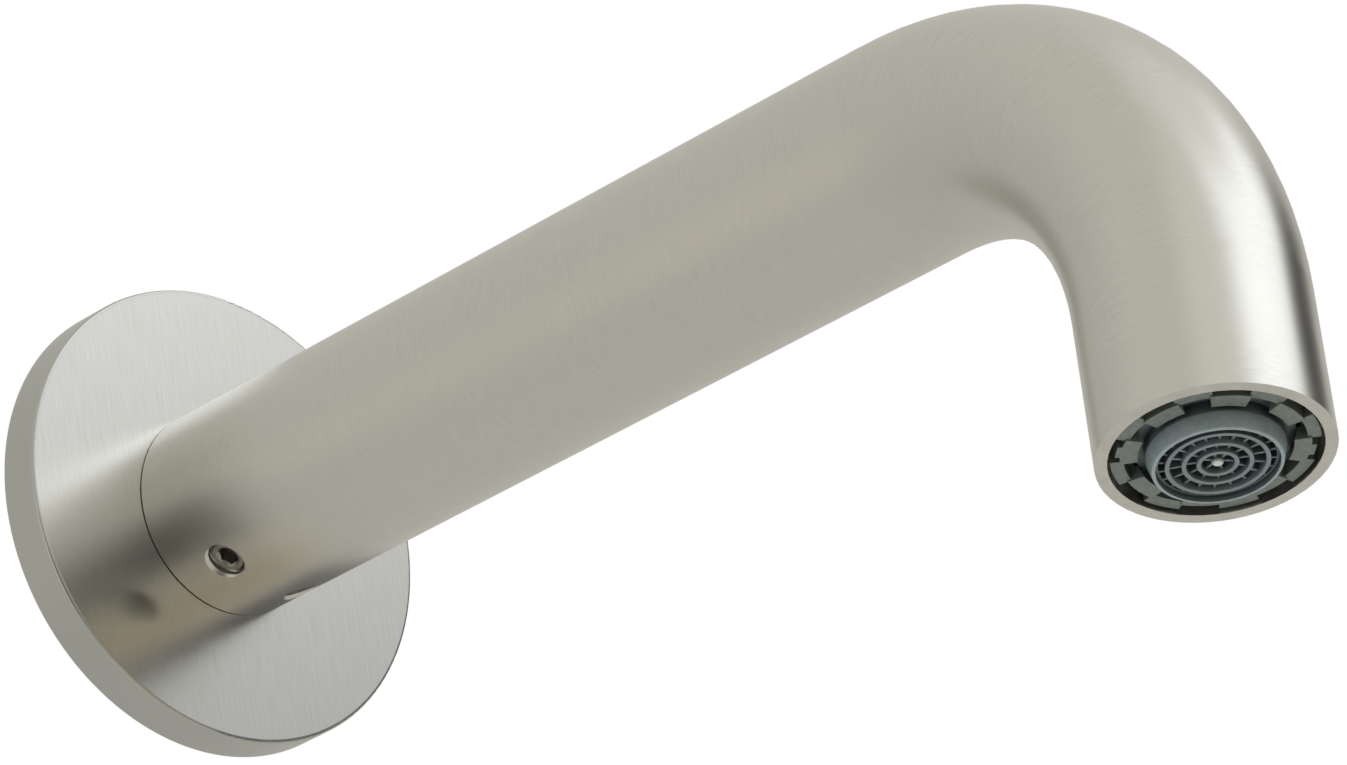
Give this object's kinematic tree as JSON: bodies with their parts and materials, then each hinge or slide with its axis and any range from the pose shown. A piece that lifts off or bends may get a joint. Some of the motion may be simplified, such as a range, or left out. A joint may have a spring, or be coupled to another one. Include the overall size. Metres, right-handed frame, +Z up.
{
  "type": "wall mounted bath spout",
  "caption": "Wall mounted bath spout: round rosette, bent brushed steel tube on a threaded wall nipple, set screws under the base and a swivel aerator hidden in the outlet.",
  "frame": {"origin": "on the axis of the wall nipple where its pipe thread leaves the wall, in the plane of the wall", "axes": "+Z up, +Y into the wall along the pipe thread, -Y along the spout into the room, +X to the right as one faces the wall"},
  "size_m": [0.063, 0.2217, 0.0947],
  "materials": {
    "brushed_steel": "fine satin brushed",
    "brass": "machined",
    "screw_steel": "turned",
    "rubber": "moulded",
    "foam": "closed cell foam",
    "key_plastic": "moulded",
    "nozzle_plastic": "moulded satin",
    "white_plastic": "moulded",
    "screen_steel": "etched"
  },
  "bodies": {
    "spout": {"rosette": "brushed_steel", "rosette_wall_seal": "foam", "rosette_grip_ring": "rubber", "wall_nipple": "brass", "nipple_wall_seal": "rubber", "nipple_o_ring_front": "rubber", "nipple_o_ring_rear": "rubber", "spout_tube": "brushed_steel", "spout_socket": "brass", "outlet_bush": "brass"},
    "screw_pad_left": {"set_screw_pad_left": "brass"},
    "screw_left": {"set_screw_left": "screw_steel"},
    "screw_pad_right": {"set_screw_pad_right": "brass"},
    "screw_right": {"set_screw_right": "screw_steel"},
    "aerator_washer": {"aerator_washer": "rubber"},
    "aerator": {"aerator_housing": "key_plastic", "aerator_strainer": "white_plastic", "aerator_jet_plate": "white_plastic", "swivel_retainer": "white_plastic"},
    "swivel_seat": {"swivel_seat": "key_plastic"},
    "nozzle": {"nozzle_ball": "nozzle_plastic", "stream_grid": "nozzle_plastic", "mixing_screen_lower": "screen_steel", "screen_spacer": "white_plastic", "mixing_screen_upper": "screen_steel", "screen_clip": "white_plastic"}
  },
  "joints": [
    {"name": "set_screw_left_travel", "type": "slide", "parent": "spout", "child": "screw_pad_left", "axis": [-0.4695, 0, -0.8829], "range_m": [0, 0.0024]},
    {"name": "set_screw_left_turn", "type": "hinge", "parent": "screw_pad_left", "child": "screw_left", "pos_m": [0, -0.0154, 0], "axis": [-0.4695, 0, -0.8829], "range_deg": [0, 1081]},
    {"name": "set_screw_right_travel", "type": "slide", "parent": "spout", "child": "screw_pad_right", "axis": [0.4695, 0, -0.8829], "range_m": [0, 0.0024]},
    {"name": "set_screw_right_turn", "type": "hinge", "parent": "screw_pad_right", "child": "screw_right", "pos_m": [0, -0.0154, 0], "axis": [0.4695, 0, -0.8829], "range_deg": [0, 1081]},
    {"name": "aerator_travel", "type": "slide", "parent": "spout", "child": "aerator_washer", "axis": [0, -0.1736, -0.9848], "range_m": [0, 0.01]},
    {"name": "aerator_turn", "type": "hinge", "parent": "aerator_washer", "child": "aerator", "pos_m": [0, -0.19273, -0.06019], "axis": [0, -0.1736, -0.9848], "range_deg": [0, 3601]},
    {"name": "nozzle_tilt", "type": "hinge", "parent": "aerator", "child": "swivel_seat", "pos_m": [0, -0.19204, -0.05626], "axis": [1, 0, 0], "range_deg": [-7, 7]},
    {"name": "nozzle_sway", "type": "hinge", "parent": "swivel_seat", "child": "nozzle", "pos_m": [0, -0.19204, -0.05626], "axis": [0, -0.9848, 0.1736], "range_deg": [-7, 7]}
  ],
  "couplings": [
    {"joint": "set_screw_left_turn", "follows": "set_screw_left_travel", "rad_per_m": 7854},
    {"joint": "set_screw_right_turn", "follows": "set_screw_right_travel", "rad_per_m": 7854},
    {"joint": "aerator_turn", "follows": "aerator_travel", "rad_per_m": 6283.2}
  ]
}
